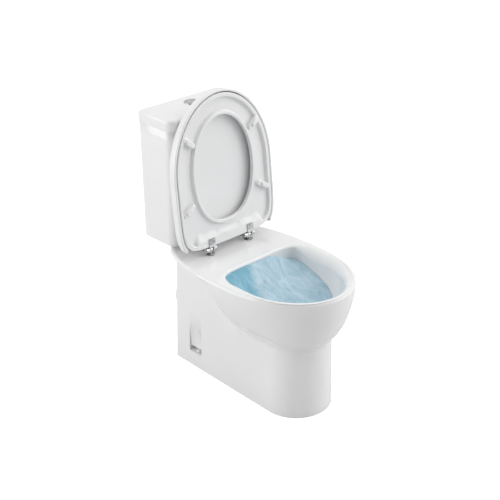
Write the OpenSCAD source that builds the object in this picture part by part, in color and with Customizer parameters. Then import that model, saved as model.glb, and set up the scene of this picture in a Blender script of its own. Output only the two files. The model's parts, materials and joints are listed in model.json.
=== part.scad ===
// Close coupled toilet: ceramic pan, ceramic cistern with dual flush, and a hinged seat and lid.
// Row frame: +Z up, the front faces -Y, the origin is on the floor under the middle of the outline.
// Plan positions are distances forward of the cistern's back, turned into Y by fwd().

/* [Pan] */
// Distance from the cistern's back to the front of the rim
depth = 670; // [660:1:680]
// Height of the flat top of the rim
pan_h = 408; // [404:1:412]
// Half of the greatest width of the rim
rim_half_w = 195; // [193:1:197]
// Forward position of the widest part of the rim
rim_mid = 393; // [390:1:396]
// Radius of the rim's outer edge
rim_edge_r = 14; // [12:1:15]
// Half width of the bowl's opening
opening_half_w = 158; // [156:1:160]
// Forward position of the opening's straight back edge
opening_back = 340; // [338:1:342]
// Forward position of the pan's back
pan_back = 65; // [63:1:67]
// Half width of the skirt at its front, on the floor
skirt_r = 108; // [106:1:110]
// Thickness of the ceramic walls
wall = 12; // [11:1:13]

/* [Cistern] */
// Width of the cistern's cover
cover_w = 320; // [316:2:324]
// Depth of the cistern's cover
cover_d = 150; // [149:1:151]
// Thickness of the cistern's cover at its edge
cover_h = 35; // [33:1:37]
// Height of the top of the cistern's cover
cistern_top = 823; // [815:1:830]
// Height of the underside of the tank
tank_bottom = 421; // [420:1:422]

/* [Seat and lid] */
// Half of the greatest width of the seat
seat_half_w = 182; // [180:1:184]
// Distance from the hinge axis to the front of the seat
seat_len = 456; // [452:1:458]
// Thickness of the seat
seat_t = 18; // [17:0.5:18.5]
// Depth of the lid over the seat
lid_t = 29; // [28.5:0.5:30]
// How far the lid and the seat lean back past upright, in degrees
lean = 6.2; // [5.8:0.1:6.5]
// Half of the distance between the hinges
hinge_half = 78; // [77:0.5:79]
// Forward position of the hinge axis
hinge_fwd = 218; // [216:1:220]

/* [Hidden] */
$fn = 48;

eps = 0.01;
turns = 60;                          // points in each horizontal outline of the pan
back_reach = rim_mid - pan_back;     // from the outline's centre to the pan's back
bowl_mid = 470;                      // forward position of the opening's centre
opening_front = 178;                 // from the opening's centre to its front
opening_rear = 240;                  // rear half-length of the opening's ellipse
lip_h = 34;                          // height of the inner lip of the rim
lip_cut = 7;                         // how far the bowl is cut back under the lip
sump_z = 110;                        // height of the bottom of the bowl
crease_z = 229;                      // height where the bowl meets the skirt at the front
flare_rise = 101;                    // how much higher that line is at the back
skirt_batter = 5;                    // how much narrower the skirt is under the bowl
deck_t = 14;                         // thickness of the deck behind the bowl
cavity_z = 175;                      // height of the skirt's hollow under the bowl
waste_z = 185;                       // height of the waste outlet
waste_r = 51;                        // outside radius of the waste outlet
waste_bore_r = 43;                   // inside radius of the waste outlet
flush_z = 360;                       // height of the flush passage
outlet_fwd = 100;                    // forward position of the flush valve and the coupling bolts
coupling_half = 56;                  // half the spacing of the coupling bolts
niche_z = 49;                        // height of the ledge that the floor screws hold down
niche_from = 131;
niche_to = 188;
screw_half = 81;                     // half the spacing of the floor screws
screw_fwd = 163;
button_fwd = 61;                     // forward position of the push buttons
tank_wall = 8;
tank_floor = 10;
tank_top = cistern_top - cover_h;
inlet_x = 112;
inlet_fwd = 58;
axis_z = pan_h + 16;                 // height of the hinge axis
under = -8.4;                        // seat's underside, measured up from the hinge axis when shut
seat_mid = 229;                      // from the hinge axis to the widest part of the seat
seat_rear = 9;                       // from the hinge axis to the seat's rear edge
lid_over = 9;                        // how far the lid stands out beyond the seat
lid_wall = 7;
lid_panel = 5;
lid_top = under + lid_t + 1;
stem_bottom = pan_h - deck_t - 26;   // lower end of the hinge stems and the coupling bolts

// ---------- positions and outlines ----------
function fwd(d) = depth / 2 - d;
function below(a) = max(0, -asin(sin(a)));
function blend(x) = let(t = min(1, max(0, x))) t * t * (3 - 2 * t);

// Distance from the centre to an egg of half width w, with its own lengths and powers
// in front of the centre and behind it, in the direction a.
function egg(a, w, front, rear, power_front, power_rear) =
    let(n = sin(a) >= 0 ? power_front : power_rear, len = sin(a) >= 0 ? front : rear)
    pow(pow(abs(cos(a)) / w, n) + pow(abs(sin(a)) / len, n), -1 / n);

function straight_back(a, reach) = sin(a) < 0 ? reach / -sin(a) : 10 * reach;

function rim_r(a) =
    min(egg(a, rim_half_w, depth - rim_mid, 350, 2.08, 2.6), straight_back(a, back_reach));

// The skirt in plan: sides that widen slightly forwards into a half round front.
function skirt_plan(a, inset) =
    let(
        slope = 0.039,
        r = skirt_r - inset,
        centre = 108,
        side = (r - slope * centre) / max(eps, abs(cos(a)) - slope * sin(a)),
        front = centre * sin(a) + sqrt(max(0, r * r - pow(centre * cos(a), 2)))
    )
    min(side * sin(a) < centre ? side : front, straight_back(a, back_reach - inset));

function opening_r(a) =
    min(
        egg(a, opening_half_w, opening_front, opening_rear, 2, 2),
        straight_back(a, bowl_mid - opening_back)
    );

function ring(mid, radii, heights) = [
    for (i = [0:turns - 1])
        let(a = 360 * i / turns)
        [radii[i] * cos(a), fwd(mid + radii[i] * sin(a)), heights[i]]
];
function level(z) = [for (i = [0:turns - 1]) z];
function angles() = [for (i = [0:turns - 1]) 360 * i / turns];

// The bowl's inside, from v = 0 under the lip to v = 1 at the sump.
function bowl_scale(v) = v < 0.56 ? 1 - 0.46 * pow(v / 0.56, 1.6) : 0.54 - 0.29 * (v - 0.56) / 0.44;
function bowl_ring(v) = ring(
    bowl_mid - 40 * v,
    [for (a = angles()) (opening_r(a) + lip_cut) * bowl_scale(v)],
    level(pan_h - lip_h - 2 - v * (pan_h - lip_h - 2 - sump_z))
);
function lip_ring(out, drop) =
    ring(bowl_mid, [for (a = angles()) opening_r(a) + out], level(pan_h - drop));
function edge_ring(t) = ring(
    rim_mid,
    [for (a = angles()) rim_r(a) - rim_edge_r * (1 - sin(t))],
    level(pan_h - rim_edge_r * (1 - cos(t)))
);

// The line where the bowl runs into the skirt, and the bulge above it: s = 1 at the rim.
function crease(a) = crease_z + flare_rise * pow(min(1, below(a) / 60), 1.3);
function bulge(a, s) =
    let(flare = blend((below(a) - 30) / 35))
    (1 - flare) * pow(1 - pow(1 - s, 1.6), 1 / 1.6) + flare * pow(s, 1.5);
function bulge_ring(s) = ring(
    rim_mid,
    [for (a = angles())
        skirt_plan(a, skirt_batter) + (rim_r(a) - skirt_plan(a, skirt_batter)) * bulge(a, s)],
    [for (a = angles()) crease(a) + (pan_h - rim_edge_r - crease(a)) * s]
);
function skirt_ring(t) = ring(
    rim_mid,
    [for (a = angles()) skirt_plan(a, skirt_batter * t)],
    [for (a = angles()) crease(a) * t]
);

// The hollow inside the skirt: high behind the bowl, low under it.
function is_rear(a) = below(a) > 45;
function inner_r(a) = skirt_plan(a, wall + skirt_batter);
function inner_top(a) =
    is_rear(a) ? inner_r(a) + 0.3 * max(0, rim_r(a) - skirt_plan(a, skirt_batter)) : inner_r(a) - 1;
function chamber_end(a, reach, other) =
    is_rear(a) ? min(other, (rim_mid - reach) / -sin(a)) : other;
function front_z(a) = cavity_z + 30 * max(0, sin(a));
function hollow_rings() = [
    ring(rim_mid, [for (a = angles()) skirt_plan(a, wall)], level(0)),
    ring(
        rim_mid, [for (a = angles()) inner_r(a)],
        [for (a = angles()) is_rear(a) ? crease(a) - 5 : front_z(a) - 4]
    ),
    ring(
        rim_mid, [for (a = angles()) inner_top(a)],
        [for (a = angles()) is_rear(a) ? pan_h - deck_t : front_z(a)]
    ),
    ring(
        rim_mid, [for (a = angles()) chamber_end(a, 312, 0.8 * inner_r(a))],
        [for (a = angles()) is_rear(a) ? pan_h - deck_t : front_z(a) - 10]
    ),
    ring(
        rim_mid, [for (a = angles()) chamber_end(a, 345, 50)],
        level(sump_z - wall)
    )
];

// A closed skin through a list of rings, each with the same number of points.
module skin(rings) {
    n = len(rings[0]);
    last = len(rings) - 1;
    polyhedron(
        points = [for (r = rings) for (p = r) p],
        faces = concat(
            [for (k = [0:last - 1], i = [0:n - 1])
                [k * n + i, (k + 1) * n + i, k * n + (i + 1) % n]],
            [for (k = [0:last - 1], i = [0:n - 1])
                [k * n + (i + 1) % n, (k + 1) * n + i, (k + 1) * n + (i + 1) % n]],
            [[for (i = [0:n - 1]) i]],
            [[for (i = [n - 1:-1:0]) last * n + i]]
        ),
        convexity = 12
    );
}

// ---------- shared shapes ----------
module at(x, d, z) {
    translate([x, fwd(d), z]) children();
}
module pair(x, d, z) {
    for (side = [-1, 1])
        at(side * x, d, z) children();
}
module tube(r, bore, h) {
    difference() {
        cylinder(r = r, h = h);
        translate([0, 0, -1]) cylinder(r = bore, h = h + 2);
    }
}
// A bar of radius r between two points on the centre plane, given as [forward, height].
module bar(from, to, r) {
    rise = to[1] - from[1];
    run = to[0] - from[0];
    at(0, from[0], from[1])
        rotate([atan2(run, rise), 0, 0])
            cylinder(r = r, h = norm([run, rise]));
}
module rounded_plan(w, d, r_front, r_back) {
    for (side = [-1, 1]) {
        translate([side * (w / 2 - r_front), -d + r_front]) circle(r = r_front, $fn = 32);
        translate([side * (w / 2 - r_back), -r_back]) circle(r = r_back, $fn = 32);
    }
}
// A slice of the cistern: a plan with rounded corners, from the back plane forwards.
module slice(w, d, z, h, inset = 0, r_front = 25, r_back = 12) {
    translate([0, depth / 2 - inset, z])
        linear_extrude(height = h)
            rounded_plan(w - 2 * inset, d - 2 * inset, r_front - inset, r_back - inset);
}
module wing_nut(bore, z_down) {
    translate([0, 0, -z_down]) {
        tube(8, bore, z_down);
        difference() {
            translate([-15, -2, 0]) cube([30, 4, z_down - 1]);
            translate([0, 0, -1]) cylinder(r = 7.9, h = z_down + 2);
        }
    }
}
// A wire coil of radius r from z = 0 up to h, as a ring of points every 30 degrees.
module coil(r, h, wire, coils) {
    steps = 12 * coils;
    skin([
        for (k = [0:steps])
            let(a = 30 * k, c = [r * cos(a), r * sin(a), wire + (h - 2 * wire) * k / steps])
            [for (j = [0:5])
                c + wire * [cos(60 * j) * cos(a), cos(60 * j) * sin(a), -sin(60 * j)]]
    ]);
}

// ---------- pan ----------
// The trap: from the sump up over the weir, then down to the level outlet.
sump_end = [395, 150];
weir = [296, 256];
fall_end = [222, waste_z];

module trapway(r_trap, r_weir, r_outlet, start) {
    bar(start, weir, r_trap);
    at(0, weir[0], weir[1]) sphere(r = r_weir);
    bar(weir, fall_end, r_trap);
    bar([fall_end[0] + 18, waste_z], [pan_back + 5, waste_z], r_outlet);
}
module niche(side) {
    at(0, niche_from, 0)
        rotate([90, 0, 0])
            linear_extrude(height = niche_to - niche_from)
                polygon([
                    [side * 120, niche_z], [side * 70, niche_z],
                    [side * 98, niche_z + 98], [side * 120, niche_z + 98]
                ]);
}
module pan() color("white") difference() {
    union() {
        skin(concat(
            [for (k = [6:-1:0]) bowl_ring(k / 6)],
            [lip_ring(0, lip_h), lip_ring(0, 5), lip_ring(1.5, 1.5), lip_ring(5, 0)],
            [for (t = [0, 35, 65]) edge_ring(t)],
            [for (k = [7:-1:0]) bulge_ring(k / 7)],
            [for (t = [0.5, 0]) skirt_ring(t)],
            hollow_rings()
        ));
        trapway(45, 52, waste_r - 3, [340, 205]);
        bar([pan_back + 6, waste_z], [18, waste_z], waste_r);
        bar([pan_back + 12, waste_z], [pan_back, waste_z], waste_r + 9);
        bar([70, flush_z], [322, flush_z], 37);
        for (side = [-1, 1])
            at(side * 76, niche_to + 8, 0) translate([-14, 0, 1]) cube([28, 74, 158]);
    }
    trapway(35, 38, waste_bore_r, sump_end);
    bar([17, waste_z], [100, waste_z], waste_bore_r);
    bar([outlet_fwd, flush_z], [opening_back + 10, flush_z], 18);
    at(0, outlet_fwd, flush_z + 2) cylinder(r = 27, h = 100);
    pair(coupling_half, outlet_fwd, pan_h - 40) cylinder(r = 6, h = 60);
    pair(hinge_half, hinge_fwd, pan_h - 40) cylinder(r = 6, h = 60);
    pair(screw_half, screw_fwd, -1) cylinder(r = 5, h = 60);
    niche(-1);
    niche(1);
}

module floor_screws() color("silver") pair(screw_half, screw_fwd, 0) {
    translate([0, 0, 0.5]) cylinder(r = 3.5, h = niche_z + 3);
    translate([0, 0, niche_z + 2]) cylinder(r = 6, h = 3.5);
}
module floor_screw_washers() color("silver")
    pair(screw_half, screw_fwd, niche_z) tube(8, 3.5, 2);
module floor_screw_caps() color("lightgray") pair(screw_half, screw_fwd, niche_z + 2)
    difference() {
        rotate_extrude() polygon([[0, 0], [9, 0], [9, 3], [7, 6.5], [4, 8], [0, 8.5]]);
        translate([0, 0, -1]) cylinder(r = 6.3, h = 5);
    }

// ---------- cistern ----------
module tank_shell(inset, z, h) {
    hull() {
        slice(300, 136, z, 1, inset);
        slice(312, 144, z + h - 1, 1, inset);
    }
}
module cistern_tank() color("white") difference() {
    hull() {
        slice(290, 130, tank_bottom, 1, 0, 20, 10);
        slice(300, 137, tank_bottom + 8, 1);
        slice(312, 144, tank_top - 1, 1);
    }
    tank_shell(tank_wall, tank_bottom + tank_floor, tank_top - tank_bottom);
    at(0, outlet_fwd, tank_bottom - 1) cylinder(r = 24.3, h = 20);
    pair(coupling_half, outlet_fwd, tank_bottom - 1) cylinder(r = 5, h = 20);
    at(inlet_x, inlet_fwd, tank_bottom - 1) cylinder(r = 11, h = 20);
}
module coupling_gasket() color("dimgray") at(0, outlet_fwd, 0)
    rotate_extrude() polygon([
        [27.5, pan_h], [35, pan_h], [35, tank_bottom], [32.5, tank_bottom],
        [32.5, tank_bottom - 9], [27.5, tank_bottom - 9]
    ]);
module coupling_bolts() color("gold") pair(coupling_half, outlet_fwd, 0) {
    translate([0, 0, stem_bottom]) cylinder(r = 4, h = tank_bottom + 14 - stem_bottom);
    translate([0, 0, tank_bottom + 14]) cylinder(r = 8, h = 4);
}
module coupling_bolt_seals() color("black")
    pair(coupling_half, outlet_fwd, tank_bottom + tank_floor) tube(10, 4, 4);
module coupling_bolt_washers() color("silver")
    pair(coupling_half, outlet_fwd, pan_h - deck_t - 2) tube(11, 4, 2);
module coupling_wing_nuts() color("gold")
    pair(coupling_half, outlet_fwd, pan_h - deck_t - 2) rotate([0, 0, 90]) wing_nut(4, 9);

// ---------- flush valve ----------
valve_seat = tank_bottom + tank_floor + 7;
tower_z = valve_seat + 62;
head_z = 700;
tower_top = 745;

module flush_valve_base() color("white") at(0, outlet_fwd, 0) {
    translate([0, 0, pan_h - 14]) tube(24, 20, valve_seat - pan_h + 14);
    translate([0, 0, valve_seat - 5]) tube(27.5, 23.9, 3);
    for (a = [30:120:270])
        rotate([0, 0, a])
            translate([24.3, -3, valve_seat - 2]) cube([3, 6, tower_z - valve_seat + 2]);
    translate([0, 0, valve_seat - 2]) tube(27.5, 23.9, 2);
}
module flush_valve_washer() color("black")
    at(0, outlet_fwd, tank_bottom + tank_floor) tube(27.5, 24, 2);
module flush_valve_backnut() color("white") at(0, outlet_fwd, tank_bottom - 9) tube(32, 24, 9);
module flush_valve_tower() color("royalblue") {
    at(0, outlet_fwd, tower_z) tube(28, 17, head_z - tower_z);
    difference() {
        translate([-26, fwd(126), head_z]) cube([52, 92, tower_top - head_z]);
        at(0, outlet_fwd, head_z - 1) cylinder(r = 17, h = 100);
        translate([-22, fwd(78), head_z - 1]) cube([44, 40, tower_top - head_z - 4]);
    }
}
module flush_valve_tube() color("lightgray") at(0, outlet_fwd, 0) {
    translate([0, 0, valve_seat + 3]) tube(24, 11, 4);
    translate([0, 0, valve_seat + 7]) tube(13, 11, 240);
}
module flush_valve_seal() color("black") at(0, outlet_fwd, valve_seat) tube(23, 11, 3);

// ---------- fill valve ----------
tail_r = 10.45;                      // half-inch pipe thread, over its crests
shank_r = 9.6;                       // the plain shank above the thread
float_z = 560;
column_top = 690;

module fill_valve_body() color("white") at(inlet_x, inlet_fwd, 0) {
    translate([0, 0, tank_bottom - 36]) tube(tail_r, 6.5, 26);
    translate([0, 0, tank_bottom - 10]) tube(shank_r, 6.5, 10 + tank_floor + 2);
    translate([0, 0, tank_bottom + tank_floor + 2]) tube(16, 6.5, 5);
    translate([0, 0, tank_bottom + tank_floor + 7])
        tube(9, 6.5, column_top - tank_bottom - tank_floor - 7);
    translate([0, 0, float_z - 4.3]) tube(14, 8.9, 4);
}
module fill_valve_washer() color("black")
    at(inlet_x, inlet_fwd, tank_bottom + tank_floor) tube(15, shank_r, 2);
module fill_valve_backnut() color("white")
    at(inlet_x, inlet_fwd, tank_bottom - 8) tube(17, shank_r, 8);
module fill_valve_head() color("royalblue") at(inlet_x, inlet_fwd, column_top) {
    cylinder(r = 19, h = 18);
    for (side = [-1, 1])
        translate([-32, side * 7 - 1.5, 4]) difference() {
            cube([18, 3, 14]);
            translate([6, -1, 8]) rotate([-90, 0, 0]) cylinder(r = 2, h = 5);
        }
}
module fill_valve_arm_pin() color("silver")
    at(inlet_x - 26, inlet_fwd + 9, column_top + 12) rotate([-90, 0, 0]) cylinder(r = 2, h = 18);
module fill_valve_arm() color("white") at(inlet_x - 26, inlet_fwd, column_top + 12)
    rotate([90, 0, 0]) translate([0, 0, -4]) difference() {
        union() {
            cylinder(r = 5, h = 8);
            translate([-24, -3, 1]) cube([22, 5, 6]);
        }
        translate([0, 0, -1]) cylinder(r = 2.06, h = 10);
    }
module fill_valve_float() color("dimgray") at(inlet_x, inlet_fwd, float_z) {
    difference() {
        cylinder(r = 24, h = 62);
        translate([0, 0, -1]) cylinder(r = 9.4, h = 64);
        translate([0, 0, -1]) difference() {
            cylinder(r = 22, h = 58);
            cylinder(r = 12, h = 58);
        }
    }
}

// ---------- cistern cover and buttons ----------
cover_plate = cistern_top - 9;
button_r = 15.6;
button_top = cistern_top + 3;
button_h = 5;
press = 4;
spring_floor = cistern_top - 32;

module cistern_lid() color("white") difference() {
    hull() {
        slice(cover_w, cover_d, tank_top + 0.3, cover_h - 9, 0);
        slice(cover_w, cover_d, cistern_top - 3, 1, 2);
        slice(cover_w, cover_d, cistern_top - 1, 1, 6);
    }
    hull() slice(cover_w - 12, cover_d - 3, tank_top - 1, cover_plate - tank_top + 1, 9);
    at(0, button_fwd, cover_plate - 1) cylinder(r = 19.2, h = 20);
}
module button_bezel() color("gainsboro") at(0, button_fwd, 0) {
    translate([0, 0, cistern_top]) rotate_extrude()
        polygon([[16, 0], [24, 0], [24, 1.2], [22.5, 3.2], [18, 3.6], [16, 3]]);
    translate([0, 0, spring_floor - 2]) tube(18.5, 16, cistern_top - spring_floor + 2);
    translate([0, 0, spring_floor - 2]) difference() {
        cylinder(r = 16.01, h = 2);
        for (side = [-1, 1])
            translate([side * 7.5, 0, -1]) cylinder(r = 2.06, h = 4);
    }
}
module button_nut() color("white") at(0, button_fwd, cover_plate - 6) tube(25, 18.5, 6);
module half_disc(side, r, h) {
    difference() {
        cylinder(r = r, h = h);
        translate([side < 0 ? -0.5 : -r - 1, -r - 1, -1]) cube([r + 1.5, 2 * r + 2, h + 2]);
    }
}
module push_button(side) {
    at(0, button_fwd, button_top - button_h) half_disc(side, button_r, button_h);
}
module push_rod(side) {
    at(side * 7.5, button_fwd, tower_top + press + 2)
        cylinder(r = 2, h = button_top - button_h - tower_top - press - 2);
}
module push_spring(side) {
    at(side * 7.5, button_fwd, spring_floor)
        coil(4, button_top - button_h - spring_floor, 0.5, 5);
}
module full_flush_button() color("silver") push_button(1);
module full_flush_rod() color("white") push_rod(1);
module full_flush_spring() color("gray") push_spring(1);
module half_flush_button() color("silver") push_button(-1);
module half_flush_rod() color("white") push_rod(-1);
module half_flush_spring() color("gray") push_spring(-1);

// ---------- hinges ----------
eye_r = 7;
pin_r = 3;
post_w = 10;
eye_w = 8;

module hinge_posts() color("silver") pair(hinge_half, hinge_fwd, 0) {
    translate([0, 0, pan_h + 1]) cylinder(r = 14, h = 3);
    difference() {
        union() {
            translate([0, 0, pan_h + 4]) cylinder(r = 4.9, h = 6);
            translate([-post_w / 2, 0, axis_z]) rotate([0, 90, 0]) cylinder(r = eye_r, h = post_w);
        }
        translate([-post_w, 0, axis_z]) rotate([0, 90, 0]) cylinder(r = pin_r, h = 2 * post_w);
    }
    translate([0, 0, stem_bottom]) cylinder(r = 4, h = pan_h + 1 - stem_bottom);
}
module hinge_pins() color("silver") pair(hinge_half, hinge_fwd, axis_z)
    translate([-15, 0, 0]) rotate([0, 90, 0]) cylinder(r = pin_r, h = 30);
module hinge_gaskets() color("black") pair(hinge_half, hinge_fwd, pan_h) tube(14, 4, 1);
module hinge_cone_washers() color("white") pair(hinge_half, hinge_fwd, pan_h - deck_t - 4)
    difference() {
        union() {
            cylinder(r = 11, h = 4);
            translate([0, 0, 4]) cylinder(r = 5.8, h = 4);
        }
        translate([0, 0, -1]) cylinder(r = 4, h = 10);
    }
module hinge_wing_nuts() color("white")
    pair(hinge_half, hinge_fwd, pan_h - deck_t - 4) rotate([0, 0, 90]) wing_nut(4, 9);

// Places a shape drawn shut, with the hinge axis at its origin, in the raised position.
module raised() {
    at(0, hinge_fwd, axis_z) rotate([-90 - lean, 0, 0]) children();
}
// Repeats a shape at both hinges in the shut drawing.
module both_hinges() {
    for (side = [-1, 1])
        translate([side * hinge_half, 0, 0]) children();
}
module eye(x, w) {
    translate([x, 0, 0]) rotate([0, 90, 0]) difference() {
        cylinder(r = eye_r, h = w);
        translate([0, 0, -1]) cylinder(r = pin_r + 0.06, h = w + 2);
    }
}
screw_r = 1.8;
seat_screws = [[2, -30], [2, -20]];
lid_screws = [[-14, -18], [4, -18]];

// A flat plate from [x, y] up to the size given, with its screw holes.
module screwed_plate(corner, size, holes) {
    difference() {
        translate(corner) cube(size);
        for (h = holes)
            translate([h[0], h[1], corner[2] - 1]) cylinder(r = screw_r, h = size[2] + 2);
    }
}
module web(corner, size) {
    difference() {
        translate(corner) cube(size);
        translate([-30, 0, 0]) rotate([0, 90, 0]) cylinder(r = eye_r - 0.5, h = 60);
    }
}
module plate_screws(spots, z, h) {
    for (spot = spots)
        translate([spot[0], spot[1], z]) {
            cylinder(r = 3, h = 1.5);
            cylinder(r = screw_r, h = h);
        }
}
module seat_hinge_plates() color("silver") raised() both_hinges() {
    eye(post_w / 2 + 0.4, eye_w);
    web([post_w / 2 + 0.4, -8.6, under - 2.5], [eye_w, 11.6, 6]);
    screwed_plate([-10, -36, under - 2.5], [24, 28, 2.5], seat_screws);
}
module seat_hinge_screws() color("silver") raised() both_hinges()
    plate_screws(seat_screws, under - 4, 14);
module lid_hinge_plates() color("silver") raised() both_hinges() {
    eye(-post_w / 2 - 0.4 - eye_w, eye_w);
    web([-post_w / 2 - 0.4 - eye_w, -5, 0], [eye_w, 10, lid_top - lid_panel]);
    screwed_plate([-18, -24, lid_top - lid_panel - 2], [26, 29, 2], lid_screws);
}
module lid_hinge_screws() color("silver") raised() both_hinges()
    plate_screws(lid_screws, lid_top - lid_panel - 3.5, 6);

// ---------- seat and lid ----------
function seat_outline(grow) = [
    for (i = [0:71])
        let(
            a = 5 * i,
            r = egg(a, seat_half_w + grow, seat_len - seat_mid + grow,
                seat_mid - seat_rear + grow, 2, 7)
        )
        [r * cos(a), -seat_mid - r * sin(a)]
];
function seat_opening(grow) = [
    for (i = [0:71])
        let(a = 5 * i, r = egg(a, 112 + grow, 158 + grow, 157 + grow, 2, 2.3))
        [r * cos(a), -234 - r * sin(a)]
];
module seat_ring() color("white") raised() difference() {
    translate([0, 0, under]) linear_extrude(height = seat_t) difference() {
        polygon(seat_outline(0));
        polygon(seat_opening(0));
    }
    translate([0, 0, under - 1]) linear_extrude(height = 8) difference() {
        polygon(seat_outline(-11));
        polygon(seat_opening(9));
        translate([-130, -46]) square([260, 60]);
    }
    both_hinges()
        for (spot = seat_screws)
            translate([spot[0], spot[1], under - 1]) cylinder(r = screw_r, h = 11.5);
}
module seat_buffers() color("white") raised()
    for (side = [-1, 1], spot = [[150, -140], [129, -339]])
        translate([side * spot[0], spot[1], pan_h + 0.3 - axis_z])
            cylinder(r = 8, h = under + 7 - (pan_h + 0.3 - axis_z));
module seat_lid() color("white") raised() difference() {
    translate([0, 0, under + 1]) linear_extrude(height = lid_t) polygon(seat_outline(lid_over));
    translate([0, 0, under]) linear_extrude(height = lid_top - lid_panel - under)
        polygon(seat_outline(lid_over - lid_wall));
    translate([-165, -20, under]) cube([330, 40, lid_top - lid_panel - under]);
    both_hinges()
        for (spot = lid_screws)
            translate([spot[0], spot[1], lid_top - lid_panel - 1]) cylinder(r = screw_r, h = 3.5);
}
module lid_buffers() color("white") raised()
    for (side = [-1, 1], spot = [[150, -165], [112, -378]])
        translate([side * spot[0], spot[1], under + seat_t + 0.5])
            cylinder(r = 7, h = lid_top - lid_panel - under - seat_t - 0.5);

pan();
floor_screws();
floor_screw_washers();
floor_screw_caps();
cistern_tank();
coupling_gasket();
coupling_bolts();
coupling_bolt_seals();
coupling_bolt_washers();
coupling_wing_nuts();
flush_valve_base();
flush_valve_washer();
flush_valve_backnut();
flush_valve_tower();
flush_valve_tube();
flush_valve_seal();
fill_valve_body();
fill_valve_washer();
fill_valve_backnut();
fill_valve_head();
fill_valve_float();
fill_valve_arm();
fill_valve_arm_pin();
cistern_lid();
button_bezel();
button_nut();
full_flush_button();
full_flush_rod();
full_flush_spring();
half_flush_button();
half_flush_rod();
half_flush_spring();
hinge_posts();
hinge_pins();
hinge_gaskets();
hinge_cone_washers();
hinge_wing_nuts();
seat_ring();
seat_buffers();
seat_hinge_plates();
seat_hinge_screws();
seat_lid();
lid_buffers();
lid_hinge_plates();
lid_hinge_screws();
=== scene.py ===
import json
import math

import bmesh
import bpy
from mathutils import Matrix, Vector, noise


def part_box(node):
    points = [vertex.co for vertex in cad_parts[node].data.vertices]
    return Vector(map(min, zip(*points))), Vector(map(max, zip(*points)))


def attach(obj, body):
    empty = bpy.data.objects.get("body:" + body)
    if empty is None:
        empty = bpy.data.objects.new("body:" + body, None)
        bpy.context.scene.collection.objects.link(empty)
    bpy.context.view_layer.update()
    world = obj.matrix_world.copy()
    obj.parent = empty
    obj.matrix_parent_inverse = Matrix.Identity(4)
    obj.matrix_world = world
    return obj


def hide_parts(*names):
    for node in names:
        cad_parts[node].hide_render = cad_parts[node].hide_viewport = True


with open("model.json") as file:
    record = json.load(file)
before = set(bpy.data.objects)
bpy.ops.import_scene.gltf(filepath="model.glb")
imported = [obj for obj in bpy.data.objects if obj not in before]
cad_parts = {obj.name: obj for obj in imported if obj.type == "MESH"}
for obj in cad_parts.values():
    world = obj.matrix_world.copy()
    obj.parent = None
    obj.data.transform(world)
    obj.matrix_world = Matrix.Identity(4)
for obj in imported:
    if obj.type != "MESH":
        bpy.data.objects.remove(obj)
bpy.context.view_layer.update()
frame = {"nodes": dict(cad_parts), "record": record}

MM = 0.001

# ---------- sizes that the CAD part has too, in millimetres ----------
DEPTH = 670.0
PAN_H = 408.0
RIM_HALF_W = 195.0
RIM_MID = 393.0
OPENING_HALF_W = 158.0
OPENING_BACK = 340.0
OPENING_FRONT = 178.0
BOWL_MID = 470.0
LIP_H = 34.0
LIP_Z = PAN_H - LIP_H - 2
SUMP_Z = 110.0
PAN_BACK = 65.0
BACK_REACH = RIM_MID - PAN_BACK
SKIRT_R = 108.0
SKIRT_BATTER = 5.0
CREASE_Z = 229.0
FLARE_RISE = 101.0
CAVITY_Z = 175.0
WASTE_Z = 185.0
WASTE_R = 51.0
WASTE_BORE_R = 43.0
NICHE_Z = 49.0
NICHE_FROM = 131.0
NICHE_TO = 188.0
SCREW_HALF = 81.0
SCREW_FWD = 163.0
COVER_W = 320.0
COVER_D = 150.0
CISTERN_TOP = 823.0
COVER_H = 35.0
TANK_TOP = CISTERN_TOP - COVER_H
TANK_BOTTOM = 421.0
TANK_WALL = 8.0
OUTLET_FWD = 100.0
COUPLING_HALF = 56.0
INLET = (112.0, 58.0)
BUTTON_FWD = 61.0
BUTTON_R = 15.6
HINGE_HALF = 78.0
HINGE_FWD = 218.0
AXIS_Z = PAN_H + 16.0
LEAN = 6.2
SEAT_HALF_W = 182.0
SEAT_LEN = 456.0
SEAT_MID = 229.0
SEAT_REAR = 9.0
UNDER = -8.4
SEAT_TOP = UNDER + 18.0
LID_OVER = 9.0
LID_WALL = 7.0
WALL_STOP = 165.0
LID_TOP = UNDER + 30.0
LID_PANEL = 5.0

# ---------- sizes of the finished meshes alone, in millimetres ----------
# The rim's outer edge, and the width and height of its inner curve at the sides and at the back
RIM_EDGE_R = 10.0
LIP_SIDE = (31.0, 30.0)
LIP_BACK = (8.0, 8.0)
# Share of the inner curve's width by which the bowl's wall stands inside the opening's outline
LIP_SHARE = 0.39
OPENING_REAR = 139.0
BOWL_SHIFT = 40.0
# The skirt: its round front's centre, the slope of its sides, its half-width at the back, its foot
SKIRT_CENTRE = 108.0
SKIRT_SLOPE = 0.039
SKIRT_BACK_HALF_W = 93.0
FOOT_W = 46.0
# The hinges' knuckles, and half the width of the post that stands between them
KNUCKLE_R = 8.6
KNUCKLE_W = 14.6
KNUCKLE_START = 5.4
KNUCKLE_EDGE = 0.8
POST_HALF = 5.0


def clamp(x, low=0.0, high=1.0):
    return min(high, max(low, x))


def ease(x):
    t = clamp(x)
    return t * t * (3 - 2 * t)


def mix(a, b, t):
    return a + (b - a) * t


def fwd(d):
    return DEPTH / 2 - d


def soft_min(a, b, k):
    """The smaller of two lengths, with the corner between them rounded over k."""
    h = max(k - abs(a - b), 0.0) / k
    return min(a, b) - h * h * k / 4


# ---------- mesh helpers ----------
def new_object(name, mesh):
    obj = bpy.data.objects.new(name, mesh)
    bpy.context.scene.collection.objects.link(obj)
    return obj


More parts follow.
